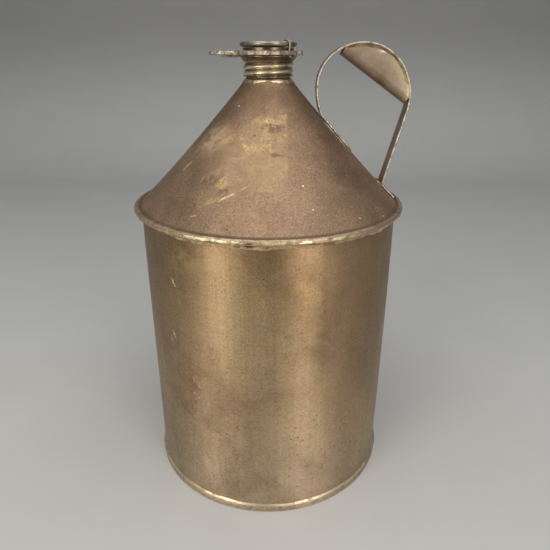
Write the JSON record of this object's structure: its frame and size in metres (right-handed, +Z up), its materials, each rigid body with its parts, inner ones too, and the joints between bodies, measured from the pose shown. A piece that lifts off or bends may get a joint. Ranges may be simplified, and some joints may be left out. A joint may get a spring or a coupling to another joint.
{
  "type": "conical-top metal fuel can",
  "caption": "Round sheet-metal fuel can with a conical top, a soldered loop handle with a hand grip, and a threaded screw cap with a lug plate.",
  "frame": {"origin": "where the can's vertical axis meets the flat underside of the base pan", "axes": "+Z up along the can's axis; the loop handle lies in the XZ plane towards +X; the lock seams run up the +Y side"},
  "size_m": [0.2188, 0.2188, 0.3631],
  "materials": {
    "body_steel": "old tinplate with a brown-bronze patina, soft sheen, fine vertical streaks and rust specks",
    "cone_steel": "old tinplate with a darker brown patina and a golden mottled patch",
    "neck_steel": "dull brown tinplate, bright on the thread crests",
    "handle_steel": "grey-brown strap steel with light worn edges",
    "cap_steel": "brown patinated steel, worn on the ridges",
    "lug_plate_iron": "rough brown iron with pinkish grey specks",
    "solder": "lumpy aged solder, yellowish grey",
    "seal_wire": "thin dull wire",
    "liner_tin": "dull tin",
    "gasket_leather": "dry dark leather washer"
  },
  "bodies": {
    "can": {"base_pan": "body_steel", "body_wall": "body_steel", "cone_top": "cone_steel", "neck_tube": "neck_steel", "handle_strap": "handle_steel", "handle_grip": "handle_steel", "base_solder": "solder", "shoulder_solder": "solder", "neck_solder": "solder", "body_seam_solder": "solder", "cone_seam_solder": "solder", "grip_solder_front": "solder", "grip_solder_rear": "solder", "upper_foot_solder": "solder", "lower_foot_solder": "solder"},
    "cap_seal": {"cap_liner_disc": "liner_tin", "cap_gasket": "gasket_leather"},
    "cap": {"cap_shell": "cap_steel", "lug_plate": "lug_plate_iron", "cap_top_ring": "cap_steel", "seal_wire": "seal_wire"}
  },
  "joints": [
    {"name": "cap_lift", "type": "slide", "parent": "can", "child": "cap_seal", "axis": [0, 0, 1], "range_m": [0, 0.01761]},
    {"name": "cap_turn", "type": "hinge", "parent": "cap_seal", "child": "cap", "pos_m": [0, 0, 0.3374], "axis": [0, 0, 1], "range_deg": [0, 1440]}
  ],
  "couplings": [
    {"joint": "cap_lift", "follows": "cap_turn", "m_per_rad": 0.00070028}
  ]
}
